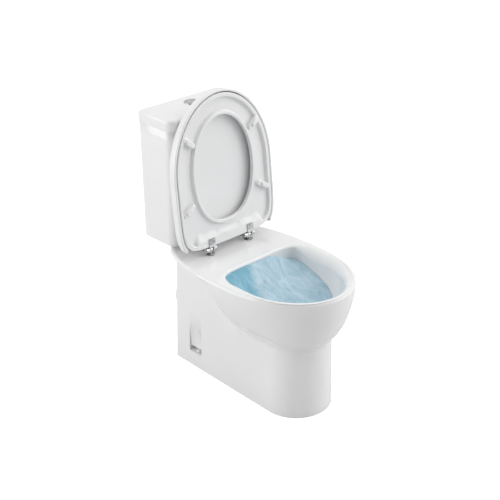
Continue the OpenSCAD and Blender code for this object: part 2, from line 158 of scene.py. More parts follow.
def solid(name, points, faces, matrix=None, sharp=40.0):
    """A mesh object from points in millimetres, smooth-shaded except along its sharp edges."""
    mesh = bpy.data.meshes.new(name)
    mesh.from_pydata([Vector(p) * MM for p in points], [], faces)
    if matrix is not None:
        mesh.transform(matrix)
    tidy(mesh, sharp)
    return new_object(name, mesh)


def tidy(mesh, sharp=40.0):
    """Merges doubled points, turns every face outwards and sets the shading."""
    bm = bmesh.new()
    bm.from_mesh(mesh)
    bmesh.ops.remove_doubles(bm, verts=bm.verts, dist=1e-6)
    bmesh.ops.dissolve_degenerate(bm, edges=bm.edges, dist=1e-6)
    bmesh.ops.recalc_face_normals(bm, faces=bm.faces)
    bm.to_mesh(mesh)
    bm.free()
    mesh.shade_smooth()
    mesh.set_sharp_from_angle(angle=math.radians(sharp))


def rings_to_faces(count, n, closed_loop=False):
    """Four-sided faces between neighbouring rings, closed by a cap at each end or into a loop."""
    faces = []
    for k in range(count if closed_loop else count - 1):
        a, b = k * n, ((k + 1) % count) * n
        for i in range(n):
            j = (i + 1) % n
            faces.append((a + i, a + j, b + j, b + i))
    if not closed_loop:
        faces.append(tuple(range(n))[::-1])
        faces.append(tuple(range((count - 1) * n, count * n)))
    return faces


def loft(name, rings, closed_loop=False, matrix=None, sharp=40.0):
    """A solid whose skin runs through rings of equally many points."""
    points = [p for ring in rings for p in ring]
    faces = rings_to_faces(len(rings), len(rings[0]), closed_loop)
    return solid(name, points, faces, matrix, sharp)


def lathe(profile, centre=(0.0, 0.0, 0.0), steps=64, axis="Z"):
    """Rings of points round the named axis, one for each (radius, height) of the profile."""
    rings = []
    for r, h in profile:
        ring = []
        for i in range(steps):
            a = 2 * math.pi * i / steps
            p = (r * math.cos(a), r * math.sin(a), h)
            if axis == "X":
                p = (h, r * math.cos(a), r * math.sin(a))
            if axis == "Y":
                p = (r * math.cos(a), h, r * math.sin(a))
            ring.append(tuple(c + q for c, q in zip(centre, p)))
        rings.append(ring)
    return rings


def joined(name, objects):
    """One object from several, each keeping its own closed mesh."""
    bm = bmesh.new()
    for o in objects:
        bm.from_mesh(o.data)
    mesh = bpy.data.meshes.new(name)
    bm.to_mesh(mesh)
    bm.free()
    for o in objects:
        bpy.data.objects.remove(o)
    mesh.shade_smooth()
    mesh.set_sharp_from_angle(angle=math.radians(40))
    return new_object(name, mesh)


def cut_out(obj, cutters, sharp):
    """Cuts the cutters out of a piece for good, and removes them."""
    for c in cutters:
        m = obj.modifiers.new("cut", "BOOLEAN")
        m.object = c
        m.operation = "DIFFERENCE"
        m.solver = "EXACT"
    graph = bpy.context.evaluated_depsgraph_get()
    mesh = bpy.data.meshes.new_from_object(obj.evaluated_get(graph))
    obj.modifiers.clear()
    obj.data = mesh
    mesh.shade_smooth()
    mesh.set_sharp_from_angle(angle=math.radians(sharp))
    for c in cutters:
        bpy.data.objects.remove(c)


def softened(node, width):
    """A copy of a CAD node whose hard edges are rounded off by width, in millimetres."""
    mesh = frame["nodes"][node].data.copy()
    mesh.name = node + "_soft"
    bm = bmesh.new()
    bm.from_mesh(mesh)
    bmesh.ops.remove_doubles(bm, verts=bm.verts, dist=2e-6)
    bmesh.ops.dissolve_limit(bm, angle_limit=math.radians(1.0), verts=bm.verts, edges=bm.edges)
    edges = [e for e in bm.edges if e.is_manifold and e.calc_face_angle(0) > math.radians(40)]
    bmesh.ops.bevel(
        bm, geom=edges, offset=width * MM, offset_type="OFFSET",
        segments=3, profile=0.5, affect="EDGES", clamp_overlap=True,
    )
    bmesh.ops.recalc_face_normals(bm, faces=bm.faces)
    bm.to_mesh(mesh)
    bm.free()
    if "custom_normal" in mesh.attributes:
        mesh.attributes.remove(mesh.attributes["custom_normal"])
    mesh.shade_smooth()
    mesh.set_sharp_from_angle(angle=math.radians(35))
    return new_object(node + "_finished", mesh)


# ---------- materials ----------
def noise_texture(mat, vector, scale, detail):
    tex = mat.node_tree.nodes.new("ShaderNodeTexNoise")
    tex.inputs["Scale"].default_value = scale
    tex.inputs["Detail"].default_value = detail
    mat.node_tree.links.new(vector, tex.inputs["Vector"])
    return tex


def colour_ramp(tree, factor, low, low_colour, high, high_colour):
    """The output of a ramp from one colour to another, between two values of its factor."""
    ramp = tree.nodes.new("ShaderNodeValToRGB")
    first, last = ramp.color_ramp.elements
    first.position = low
    last.position = high
    first.color = (*low_colour, 1.0)
    last.color = (*high_colour, 1.0)
    tree.links.new(factor, ramp.inputs["Fac"])
    return ramp.outputs["Color"]


def colour_blend(tree, share, first, second):
    """The output of a mix of two colours, the second one in the given share."""
    blend = tree.nodes.new("ShaderNodeMix")
    blend.data_type = "RGBA"
    tree.links.new(share, blend.inputs["Factor"])
    tree.links.new(first, blend.inputs[6])
    tree.links.new(second, blend.inputs[7])
    return blend.outputs[2]


def add_relief(mat, height, strength, distance):
    """Bumps a material's surface by a height, over a distance in metres."""
    relief = mat.node_tree.nodes.new("ShaderNodeBump")
    relief.inputs["Strength"].default_value = strength
    relief.inputs["Distance"].default_value = distance
    mat.node_tree.links.new(height, relief.inputs["Height"])
    shader = mat.node_tree.nodes["Principled BSDF"]
    mat.node_tree.links.new(relief.outputs["Normal"], shader.inputs["Normal"])


def surface(
    name, light, dark, colour_scale, rough, rough_scale, bump, bump_scale,
    metallic=0.0, coat=0.0, stretch=(1.0, 1.0, 1.0), specular=0.5,
):
    """A finish with its own grain: noise drives its colour, its roughness and a fine relief."""
    mat = bpy.data.materials.new(name)
    mat.use_nodes = True
    nodes, links = mat.node_tree.nodes, mat.node_tree.links
    shader = nodes["Principled BSDF"]
    shader.inputs["Metallic"].default_value = metallic
    shader.inputs["Coat Weight"].default_value = coat
    shader.inputs["Coat Roughness"].default_value = 0.04
    shader.inputs["Specular IOR Level"].default_value = specular
    coords = nodes.new("ShaderNodeTexCoord")
    mapping = nodes.new("ShaderNodeMapping")
    mapping.inputs["Scale"].default_value = stretch
    links.new(coords.outputs["Object"], mapping.inputs["Vector"])

    def grain(scale, detail):
        return noise_texture(mat, mapping.outputs["Vector"], scale, detail).outputs["Fac"]

    tone = colour_ramp(mat.node_tree, grain(colour_scale, 3.0), 0.3, dark, 0.7, light)
    links.new(tone, shader.inputs["Base Color"])
    spread = nodes.new("ShaderNodeMapRange")
    spread.inputs["To Min"].default_value = rough[0]
    spread.inputs["To Max"].default_value = rough[1]
    links.new(grain(rough_scale, 4.0), spread.inputs["Value"])
    links.new(spread.outputs["Result"], shader.inputs["Roughness"])
    add_relief(mat, grain(bump_scale, 5.0), bump, 0.0005)
    return mat


FINISHES = {
    "ceramic": surface(
        "vitreous_china", (0.86, 0.86, 0.862), (0.835, 0.836, 0.84), 6.0,
        (0.08, 0.15), 9.0, 0.05, 14.0, coat=0.25,
    ),
    "seat_plastic": surface(
        "moulded_seat_plastic", (0.86, 0.86, 0.86), (0.84, 0.84, 0.842), 9.0,
        (0.16, 0.26), 30.0, 0.06, 260.0,
    ),
    "chrome": surface(
        "polished_chrome", (0.56, 0.565, 0.57), (0.44, 0.445, 0.45), 60.0,
        (0.02, 0.08), 90.0, 0.03, 220.0, metallic=1.0,
    ),
    "steel": surface(
        "plain_steel", (0.62, 0.62, 0.61), (0.5, 0.5, 0.49), 90.0,
        (0.22, 0.4), 240.0, 0.12, 600.0, metallic=1.0, stretch=(1.0, 1.0, 6.0),
    ),
    "brass": surface(
        "turned_brass", (0.72, 0.53, 0.24), (0.58, 0.4, 0.16), 80.0,
        (0.2, 0.38), 260.0, 0.12, 700.0, metallic=1.0, stretch=(1.0, 1.0, 6.0),
    ),
    "rubber": surface(
        "black_rubber", (0.035, 0.035, 0.036), (0.02, 0.02, 0.02), 120.0,
        (0.55, 0.8), 300.0, 0.3, 900.0,
    ),
    "white_plastic": surface(
        "white_valve_plastic", (0.8, 0.8, 0.79), (0.75, 0.75, 0.74), 40.0,
        (0.28, 0.42), 160.0, 0.1, 500.0,
    ),
    "blue_plastic": surface(
        "blue_valve_plastic", (0.05, 0.19, 0.5), (0.035, 0.14, 0.4), 40.0,
        (0.28, 0.42), 160.0, 0.1, 500.0,
    ),
    "grey_plastic": surface(
        "grey_valve_plastic", (0.3, 0.31, 0.32), (0.24, 0.25, 0.26), 40.0,
        (0.3, 0.45), 160.0, 0.1, 500.0,
    ),
    "cap_plastic": surface(
        "screw_cap_plastic", (0.78, 0.78, 0.78), (0.7, 0.7, 0.7), 60.0,
        (0.2, 0.32), 160.0, 0.1, 500.0,
    ),
}


def water_finish():
    """Tinted flush water: streaks of foam over a deeper blue, and short ripples."""
    mat = bpy.data.materials.new("tinted_flush_water")
    mat.use_nodes = True
    nodes, links = mat.node_tree.nodes, mat.node_tree.links
    shader = nodes["Principled BSDF"]
    shader.inputs["Roughness"].default_value = 0.12
    shader.inputs["IOR"].default_value = 1.33
    coords = nodes.new("ShaderNodeTexCoord")
    mapping = nodes.new("ShaderNodeMapping")
    mapping.inputs["Scale"].default_value = (1.6, 0.8, 1.0)
    mapping.inputs["Rotation"].default_value = (0.0, 0.0, 0.5)
    links.new(coords.outputs["Object"], mapping.inputs["Vector"])
    streaks = noise_texture(mat, mapping.outputs["Vector"], 16.0, 7.0)
    streaks.inputs["Roughness"].default_value = 0.62
    streaks.inputs["Distortion"].default_value = 1.4
    fac = streaks.outputs["Fac"]
    foam = colour_ramp(mat.node_tree, fac, 0.34, (0.33, 0.5, 0.6), 0.68, (0.52, 0.67, 0.76))
    deep = colour_ramp(mat.node_tree, fac, 0.3, (0.13, 0.36, 0.48), 0.75, (0.24, 0.5, 0.62))
    place = nodes.new("ShaderNodeVectorMath")
    place.operation = "DOT_PRODUCT"
    place.inputs[1].default_value = (1.0, -0.55, 0.0)
    links.new(coords.outputs["Object"], place.inputs[0])
    share = nodes.new("ShaderNodeMapRange")
    share.inputs["From Min"].default_value = -0.02
    share.inputs["From Max"].default_value = -0.045
    share.inputs["To Min"].default_value = 0.0
    share.inputs["To Max"].default_value = 0.9
    links.new(place.outputs["Value"], share.inputs["Value"])
    tint = colour_blend(mat.node_tree, share.outputs["Result"], foam, deep)
    links.new(tint, shader.inputs["Base Color"])
    chop = noise_texture(mat, mapping.outputs["Vector"], 70.0, 4.0)
    add_relief(mat, chop.outputs["Fac"], 0.5, 0.003)
    return mat


def place_piece(obj, body, slot, *nodes):
    """Gives a piece its finish and the body that it rides on, and hides the CAD nodes that it stands for.
    """
    obj.data.materials.clear()
    obj.data.materials.append(FINISHES[slot])
    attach(obj, body)
    if nodes:
        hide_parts(*nodes)


# ---------- pan ----------
CORNER = math.degrees(math.atan2(BACK_REACH, SKIRT_BACK_HALF_W))


def pan_angles():
    """Directions round the pan, closer together at its two back corners."""
    angles = {round(1.5 * i, 3) for i in range(240)}
    for i in range(-24, 25):
        angles.add(round((-CORNER + 0.4 * i) % 360, 3))
        angles.add(round((180 + CORNER + 0.4 * i) % 360, 3))
    return [math.radians(a) for a in sorted(angles)]


PAN_A = pan_angles()


def egg(a, w, front, rear, power_front, power_rear):
    """Radius, in direction a, of a rounded outline with a length and a squareness at each end."""
    s, c = math.sin(a), math.cos(a)
    n, length = (power_front, front) if s >= 0 else (power_rear, rear)
    return (abs(c / w) ** n + abs(s / length) ** n) ** (-1 / n)


def straight_back(a, reach):
    """Radius at which direction a meets a straight line across the back."""
    s = math.sin(a)
    return reach / -s if s < -1e-6 else 10 * reach


def rim_r(a):
    curve = egg(a, RIM_HALF_W, DEPTH - RIM_MID, 350.0, 2.08, 2.6)
    return soft_min(curve, straight_back(a, BACK_REACH), 8.0)


def skirt_plan(a, inset):
    """Radius of the skirt: a round front, nearly straight sides and a flat back."""
    s, c = math.sin(a), math.cos(a)
    r = SKIRT_R - inset
    side = (r - SKIRT_SLOPE * SKIRT_CENTRE) / max(0.01, abs(c) - SKIRT_SLOPE * s)
    if side * s < SKIRT_CENTRE:
        plan = side
    else:
        plan = SKIRT_CENTRE * s + math.sqrt(max(0.0, r * r - (SKIRT_CENTRE * c) ** 2))
    return soft_min(plan, straight_back(a, BACK_REACH - inset), 8.0)


def opening_r(a):
    return egg(a, OPENING_HALF_W, OPENING_FRONT, OPENING_REAR, 2, 6)


def below(a):
    """Degrees by which direction a points behind the rim's widest line, and 0 in front of it."""
    return max(0.0, math.degrees(-math.asin(math.sin(a))))


def crease(a):
    """Height of the line where the bowl's bulge meets the skirt, higher towards the back."""
    return CREASE_Z + FLARE_RISE * min(1.0, below(a) / 60) ** 1.3


def bulge(a, s):
    """Share of the way from the skirt out to the rim, at a share s of the height between them."""
    flare = ease((below(a) - 12) / 32)
    round_part = (1 - (1 - s) ** 1.6) ** (1 / 1.6)
    return (1 - flare) * round_part + flare * s ** 2.1


def bowl_scale(v):
    """Share of its full width that the bowl still has, a share v of the way down."""
    if v < 0.56:
        return 1 - 0.46 * (v / 0.56) ** 1.6
    return 0.54 - 0.29 * (v - 0.56) / 0.44


def polar_ring(mid, radius, height):
    """A ring about a centre on the centreline, with radius(a) and height(a) in each direction."""
    return [
        (radius(a) * math.cos(a), fwd(mid + radius(a) * math.sin(a)), height(a))
        for a in PAN_A
    ]


def bowl_ring(v):
    z = mix(LIP_Z, SUMP_Z, v)
    mid = BOWL_MID - BOWL_SHIFT * v
    return polar_ring(mid, lambda a: lip_wall(a) * bowl_scale(v), lambda a: z)


def lip_size(a):
    """Width and height of the rim's inner curve: broad round the bowl and tight at its back."""
    back = ease((below(a) - 24) / 18)
    return tuple(mix(p, q, back) for p, q in zip(LIP_SIDE, LIP_BACK))


def lip_wall(a):
    return opening_r(a) - LIP_SHARE * lip_size(a)[0]


def lip_edge_ring(degrees):
    t = math.radians(degrees)
    return polar_ring(
        BOWL_MID,
        lambda a: lip_wall(a) + lip_size(a)[0] * (1 - math.cos(t)),
        lambda a: PAN_H - lip_size(a)[1] * (1 - math.sin(t)),
    )


def edge_ring(degrees):
    t = math.radians(degrees)
    return polar_ring(
        RIM_MID,
        lambda a: rim_r(a) - RIM_EDGE_R * (1 - math.sin(t)),
        lambda a: PAN_H - RIM_EDGE_R * (1 - math.cos(t)),
    )


def deck_ring(t):
    """Part of the way, t, across the flat rim from the opening to the outer edge."""
    inner, outer = lip_edge_ring(90), edge_ring(0)
    return [tuple(mix(p, q, t) for p, q in zip(a, b)) for a, b in zip(inner, outer)]


def bulge_ring(s):
    def radius(a):
        foot = skirt_plan(a, SKIRT_BATTER)
        return foot + (rim_r(a) - foot) * bulge(a, s)

    return polar_ring(
        RIM_MID, radius, lambda a: crease(a) + (PAN_H - RIM_EDGE_R - crease(a)) * s
    )


def skirt_ring(t):
    return polar_ring(
        RIM_MID, lambda a: skirt_plan(a, SKIRT_BATTER * t), lambda a: crease(a) * t
    )


def hollow_ring(inset, height):
    return polar_ring(RIM_MID, lambda a: skirt_plan(a, inset), lambda a: height)


def niche_cutter(side):
    """The recess over a floor screw: deepest at its ledge, and rounded along its inner edges."""
    section = [
        (70.0, NICHE_Z), (70.0, NICHE_Z + 9), (85.0, NICHE_Z + 15), (91.0, NICHE_Z + 88),
        (98.0, NICHE_Z + 98), (125.0, NICHE_Z + 98), (125.0, NICHE_Z),
    ]
    soft = 3.0
    rings = []
    for d, inset in (
        (NICHE_FROM, soft), (NICHE_FROM + 0.9, 0.9), (NICHE_FROM + soft, 0.0),
        (NICHE_TO - soft, 0.0), (NICHE_TO - 0.9, 0.9), (NICHE_TO, soft),
    ):
        ring = []
        for x, z in section:
            across = inset if x < 120 else 0
            up = inset if z < 60 else -0.5 * inset
            ring.append((side * (x + across), fwd(d), z + up))
        rings.append(ring)
    return loft("niche_cutter", rings)


def eased_rings(rings, first, last, passes):
    """Rounds over the crease between the rings first and last, by averaging neighbouring rings."""
    for _ in range(passes):
        before = rings
        rings = list(before)
        for k in range(first, last):
            rings[k] = [
                tuple(0.25 * (p + r) + 0.5 * q for p, q, r in zip(*points))
                for points in zip(before[k - 1], before[k], before[k + 1])
            ]
    return rings


def blended_rings(front_rings, back_rings):
    """Rings that follow the first set round the front and turn into the second at the back."""
    blended = []
    for front_ring, back_ring in zip(front_rings, back_rings):
        ring = []
        for a, p, q in zip(PAN_A, front_ring, back_ring):
            share = ease((below(a) - 4) / 18)
            ring.append(tuple(mix(m, n, share) for m, n in zip(p, q)))
        blended.append(ring)
    return blended


def outlet_rings(profile):
    """Rings round the waste outlet's axis, for a list of (radius, forward position)."""
    rings = lathe(profile, steps=72, axis="Y")
    return [[(x, fwd(y), z + WASTE_Z) for x, y, z in ring] for ring in rings]


def build_pan():
    """The china from the bowl's bottom up over the rim, down its outside and under the foot."""
    rings = [bowl_ring(k / 30) for k in range(30, -1, -1)]
    rings += [lip_edge_ring(6 * i) for i in range(15)]
    rings += [deck_ring(t) for t in (0.0, 0.04, 0.2, 0.5, 0.8, 0.96)]
    rings += [edge_ring(10 * i) for i in range(9)]
    side = [bulge_ring(1 - k / 40) for k in range(41)]
    side += [skirt_ring(1 - k / 55) for k in range(1, 9)]
    side += [skirt_ring(t) for t in (0.8, 0.6, 0.4, 0.2, 0.05)]
    rings += blended_rings(eased_rings(side, 30, 48, 7), eased_rings(side, 10, 50, 45))
    rings += [hollow_ring(0.0, 1.0), hollow_ring(1.0, 0.0), hollow_ring(FOOT_W, 0.0)]
    rings.append(hollow_ring(FOOT_W + SKIRT_BATTER, CAVITY_Z - 75))
    rings.append(hollow_ring(FOOT_W + 20, CAVITY_Z - 70))
    pan = loft("pan_china", rings, sharp=50)
    cut_out(pan, [niche_cutter(-1), niche_cutter(1)], sharp=42)
    bore = loft("outlet_bore", outlet_rings([(WASTE_R + 5, 60.0), (WASTE_R + 5, 90.0)]))
    cut_out(pan, [bore], sharp=42)
    spigot = [
        (WASTE_BORE_R + 2, 18.0), (WASTE_R - 2, 18.0), (WASTE_R - 0.5, 18.6), (WASTE_R, 20.0),
        (WASTE_R, 60.0), (WASTE_R + 3, 64.5), (WASTE_R + 9, 67.0), (WASTE_R + 9, 110.0),
        (1.0, 110.0), (1.0, 100.0), (WASTE_BORE_R - 4, 100.0), (WASTE_BORE_R, 96.0),
        (WASTE_BORE_R, 20.0), (WASTE_BORE_R + 0.6, 18.6),
    ]
    outlet = loft("outlet_pipe", outlet_rings(spigot), closed_loop=True)
    whole = joined("pan_china_body", [pan, outlet])
    whole.data.set_sharp_from_angle(angle=math.radians(42))
    place_piece(whole, "pan_and_cistern", "ceramic", "pan")


# ---------- flush water ----------
WATER_BACK_Z = 365.0
WATER_FRONT_Z = 299.0
WATER_RISE = 34.0
WATER_MID = 430.0
WATER_DEPTH = 6


def water_height(x, d):
    """Height of the rushing water, which runs from the back left down to the front."""
    slope = mix(WATER_BACK_Z, WATER_FRONT_Z, ease((d - OPENING_BACK) / 300.0))
    return slope + WATER_RISE * ease((150.0 - x) / 110.0) * (1 - ease((d - OPENING_BACK) / 60.0))


def bowl_wall(a, z):
    """The bowl's wall at one height and in one direction, as (forward centre, radius)."""
    if z > LIP_Z:
        width, height = lip_size(a)
        rise = clamp((z - PAN_H) / height + 1)
        return BOWL_MID, lip_wall(a) + width * (1 - math.sqrt(1 - rise * rise))
    v = (LIP_Z - z) / (LIP_Z - SUMP_Z)
    return BOWL_MID - BOWL_SHIFT * v, lip_wall(a) * bowl_scale(v)


def bowl_edge(a):
    """Where the water meets the bowl in one direction, as (forward centre, radius)."""
    z = 350.0
    for _ in range(16):
        mid, r = bowl_wall(a, z)
        z = mix(z, water_height(r * math.cos(a), mid + r * math.sin(a)), 0.5)
    return bowl_wall(a, z)


def build_water():
    """A thin rippled sheet that meets the bowl all round and is calm at its edge."""
    n, rows = 240, 70
    edges = [bowl_edge(2 * math.pi * i / n) for i in range(n)]
    top, bottom = [], []
    for k in range(1, rows + 1):
        share = k / rows
        ring, lower = [], []
        for i, (mid, r) in enumerate(edges):
            a = 2 * math.pi * i / n
            reach = (r + 0.5) * share
            x, d = reach * math.cos(a), mix(WATER_MID, mid, share) + reach * math.sin(a)
            calm = clamp((1 - share) * 8)
            swirl = Vector((x * 0.02, d * 0.012, 0.3))
            ripple = 3.6 * noise.noise(swirl * 1.5) + 2.2 * noise.noise(swirl * 4.0)
            ripple += 1.1 * noise.noise(swirl * 9.0)
            z = water_height(x, d) + ripple * calm
            ring.append((x, fwd(d), z))
            lower.append((x, fwd(d), water_height(x, d) - WATER_DEPTH))
        top.append(ring)
        bottom.append(lower)
    water = loft("flush_water", top + bottom[::-1], sharp=60)
    water.data.materials.append(water_finish())
    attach(water, "pan_and_cistern")


# ---------- cistern ----------
def rounded_plan(w, d, r_front, r_back, inset=0.0, back=0.0, steps=14):
    """A rectangle with rounded corners, against the back plane, going round once."""
    w, d = w - 2 * inset, d - 2 * inset
    back += inset
    corners = [
        (w / 2 - r_front, back + d - r_front, r_front, 0),
        (-w / 2 + r_front, back + d - r_front, r_front, 90),
        (-w / 2 + r_back, back + r_back, r_back, 180),
        (w / 2 - r_back, back + r_back, r_back, 270),
    ]
    out = []
    for cx, cy, r, start in corners:
        for i in range(steps + 1):
            a = math.radians(start + 90 * i / steps)
            out.append((cx + r * math.cos(a), cy + r * math.sin(a)))
    return out


def plan_ring(plan, z):
    return [(x, fwd(d), z) for x, d in plan]


def tank_plan(z, inset=0.0):
    t = clamp((z - TANK_BOTTOM - 8) / (TANK_TOP - 1 - TANK_BOTTOM - 8))
    w, d = mix(300.0, 312.0, t), mix(137.0, 144.0, t)
    return rounded_plan(w, d, 25.0 - inset, 12.0 - inset * 0.5, inset)


def upright(x, d, r, z0, z1):
    """A plain upright cylinder, d forward of the back plane, to cut a hole with."""
    rings = lathe([(r, z0), (r, z1)], (x, d, 0), 48)
    return loft("upright", [[(px, fwd(0) - py, pz) for px, py, pz in ring] for ring in rings])


def build_tank():
    """The open tank, from its rounded foot up over its top edge and down inside."""
    rings = []
    foot = 9.0
    for i in range(7):
        t = math.radians(15 * i)
        rings.append(plan_ring(
            tank_plan(TANK_BOTTOM, foot * (1 - math.sin(t)) * 0.6),
            TANK_BOTTOM + foot * (1 - math.cos(t)),
        ))
    rings += [plan_ring(tank_plan(z), z) for z in (480, 560, 640, 720, TANK_TOP - 2)]
    rings += [plan_ring(tank_plan(TANK_TOP, 1.0), TANK_TOP)]
    rings += [plan_ring(tank_plan(TANK_TOP, TANK_WALL - 1), TANK_TOP)]
    rings += [plan_ring(tank_plan(TANK_TOP - 2, TANK_WALL), TANK_TOP - 2)]
    rings += [plan_ring(tank_plan(z, TANK_WALL), z) for z in (720, 640, 560, 480, TANK_BOTTOM + 16)]
    rings += [plan_ring(tank_plan(TANK_BOTTOM, TANK_WALL + 6), TANK_BOTTOM + 10)]
    tank = loft("tank", rings, sharp=45)
    places = [
        (0, OUTLET_FWD, 24.3), (-COUPLING_HALF, OUTLET_FWD, 5.0),
        (COUPLING_HALF, OUTLET_FWD, 5.0), (*INLET, 11.0),
    ]
    cut_out(tank, [upright(*place, TANK_BOTTOM - 5, TANK_BOTTOM + 30) for place in places], sharp=45)
    tank.name = "cistern_tank_china"
    place_piece(tank, "pan_and_cistern", "ceramic", "cistern_tank")


def cover_plan(inset):
    return rounded_plan(COVER_W, COVER_D, 25.0 - min(inset, 16.0) * 0.4, 12.0, inset)


def build_cover():
    """The cistern's cover: an upright side, a rounded top edge and a hollow underside."""
    bottom, top, r = TANK_TOP + 0.3, CISTERN_TOP, 8.0
    rings = [plan_ring(cover_plan(1.5), bottom), plan_ring(cover_plan(0.4), bottom + 0.5)]
    rings += [plan_ring(cover_plan(0), z) for z in (bottom + 2, bottom + 12, top - r - 0.5)]
    for i in range(1, 9):
        t = math.radians(i * 90 / 8)
        rings.append(plan_ring(cover_plan(r * (1 - math.cos(t))), top - r - 0.5 + r * math.sin(t)))
    rings += [plan_ring(cover_plan(r + 8), top - 0.15), plan_ring(cover_plan(r + 20), top)]
    rings += [plan_ring(cover_plan(r + 36), top)]
    under = [plan_ring(cover_plan(44), top - 9), plan_ring(cover_plan(14), top - 9)]
    under += [plan_ring(cover_plan(10.5), top - 12), plan_ring(cover_plan(9.2), bottom + 2)]
    under += [plan_ring(cover_plan(8.2), bottom)]
    cover = loft("cover", rings[::-1] + under[::-1], sharp=45)
    cut_out(cover, [upright(0, BUTTON_FWD, 19.2, top - 40, top + 10)], sharp=45)
    cover.name = "cistern_lid_china"
    place_piece(cover, "cistern_cover", "ceramic", "cistern_lid")


# ---------- seat and lid ----------
# From the frame of the hinge axis, where the seat lies flat, to where it stands at rest
RAISED = Matrix.Translation((0, fwd(HINGE_FWD) * MM, AXIS_Z * MM)) @ Matrix.Rotation(
    math.radians(-90 - LEAN), 4, "X"
)


def seat_angles():
    """Directions round the seat, closer together where the lid's wall stops for the hinges."""
    angles = {round(float(i), 3) for i in range(360)}
    stop = math.degrees(math.atan2(SEAT_MID - 15.0, WALL_STOP))
    for i in range(-8, 9):
        angles.add(round((-stop + 0.3 * i) % 360, 3))
        angles.add(round((180 + stop + 0.3 * i) % 360, 3))
    return [math.radians(a) for a in sorted(angles)]


SEAT_A = seat_angles()
HOLE_HALF_W = 112
HOLE_FRONT = 158
HOLE_REAR = 157
HOLE_MID = 234


def seat_outline(grow):
    """The seat's outer outline, grown outwards by a width."""
    front, rear = SEAT_LEN - SEAT_MID + grow, SEAT_MID - SEAT_REAR + grow
    out = []
    for a in SEAT_A:
        r = egg(a, SEAT_HALF_W + grow, front, rear, 2, 7)
        out.append((r * math.cos(a), -SEAT_MID - r * math.sin(a)))
    return out


def seat_opening(grow):
    """The outline of the seat's opening, grown outwards by a width."""
    out = []
    for a in SEAT_A:
        r = egg(a, HOLE_HALF_W + grow, HOLE_FRONT + grow, HOLE_REAR + grow, 2, 2.3)
        out.append((r * math.cos(a), -HOLE_MID - r * math.sin(a)))
    return out


def flat_ring(plan, z):
    return [(x, y, z) for x, y in plan]


CHANNEL = 9.5
CHANNEL_END = -40.0
LIP_OUT = 11.0
LIP_IN = 9.0
SEAT_GAP = 1.2
SEAT_EDGE_R = 1.8
# How far the rings across the seat's underside lie from its inner edge and from its outer edge
FROM_INNER = (1.5, 3.5, 5.5, 7.2, 8.4, 9.6, 10.8, 12.0, 13.4, 15.5)
FROM_OUTER = (17.5, 15.4, 14.0, 12.8, 11.6, 10.4, 9.2, 7.5, 5.5, 3.5, 1.5)
BETWEEN = (0.15, 0.3, 0.5, 0.7, 0.85)


def curl(across, down, degrees):
    """How far in and how far down a rounded edge has come: all the way at 0 degrees, none at 90."""
    t = math.radians(degrees)
    return across * (1 - math.cos(t)), down * (1 - math.sin(t))


def channel_depth(x, y, from_outer, from_inner):
    """How deep the seat's underside is hollowed at a point, given its distance from each lip."""
    edge = min(from_outer, from_inner)
    depth = ease(edge / 5.0)
    rear = max(ease((CHANNEL_END - y) / 7.0), ease((abs(x) - 130) / 7.0))
    return CHANNEL * depth * rear


def underside_rings():
    """Rings across the seat's underside, from its opening out to its rim."""
    inner_edge, outer_edge = seat_opening(SEAT_EDGE_R), seat_outline(-SEAT_GAP - SEAT_EDGE_R)
    pairs = [(p, q, math.dist(p, q)) for p, q in zip(inner_edge, outer_edge)]
    offsets = [[s for _ in pairs] for s in FROM_INNER]
    offsets += [
        [mix(FROM_INNER[-1], span - FROM_OUTER[0], share) for _, _, span in pairs]
        for share in BETWEEN
    ]
    offsets += [[span - s for _, _, span in pairs] for s in FROM_OUTER]
    rings = []
    for row in offsets:
        ring = []
        for s, (p, q, span) in zip(row, pairs):
            x, y = mix(p[0], q[0], s / span), mix(p[1], q[1], s / span)
            from_outer = span - s - (LIP_OUT - SEAT_EDGE_R)
            from_inner = s - (LIP_IN - SEAT_EDGE_R)
            ring.append((x, y, UNDER + channel_depth(x, y, from_outer, from_inner)))
        rings.append(ring)
    return rings


def build_seat():
    """The seat, from its outer edge over its crowned top, down through its opening and under."""
    top_r, hole_r = 9.0, 11.0
    rings = []
    for t in (90, 60, 30, 0):
        across, down = curl(SEAT_EDGE_R, SEAT_EDGE_R, t)
        rings.append(flat_ring(seat_outline(-across - SEAT_GAP), UNDER + down))
    for i in range(11):
        across, down = curl(top_r, 8.0, 9 * i)
        rings.append(flat_ring(seat_outline(-SEAT_GAP - across), SEAT_TOP - down - 0.6))
    outer_top, inner_top = seat_outline(-SEAT_GAP - top_r), seat_opening(hole_r)
    for k in (0.12, 0.3, 0.5, 0.7, 0.88):
        z = SEAT_TOP + (0.6 * math.sin(math.pi * k) - 0.6)
        rings.append([(mix(p[0], q[0], k), mix(p[1], q[1], k), z) for p, q in zip(outer_top, inner_top)])
    for i in range(11):
        across, down = curl(hole_r, 8.5, 90 - 9 * i)
        rings.append(flat_ring(seat_opening(across), SEAT_TOP - 0.6 - down))
    for t in (0, 30, 60, 90):
        across, down = curl(SEAT_EDGE_R, SEAT_EDGE_R, t)
        rings.append(flat_ring(seat_opening(across), UNDER + down))
    rings += underside_rings()
    seat = loft("seat_ring_moulding", rings, closed_loop=True, matrix=RAISED, sharp=50)
    place_piece(seat, "seat", "seat_plastic", "seat_ring")


def lid_wall_bottom(x, y):
    """Height of the lid's wall: none where the hinges come through at the rear."""
    gap = 1.0 - ease((abs(x) - WALL_STOP + 2.0) / 4.0) if y > -SEAT_MID else 0.0
    return mix(UNDER + 1, LID_TOP - LID_PANEL - 0.6, gap)


def scaled_ring(plan, share, z):
    """An outline drawn in towards the seat's middle, at one height."""
    return [(x * share, -SEAT_MID + (y + SEAT_MID) * share, z) for x, y in plan]


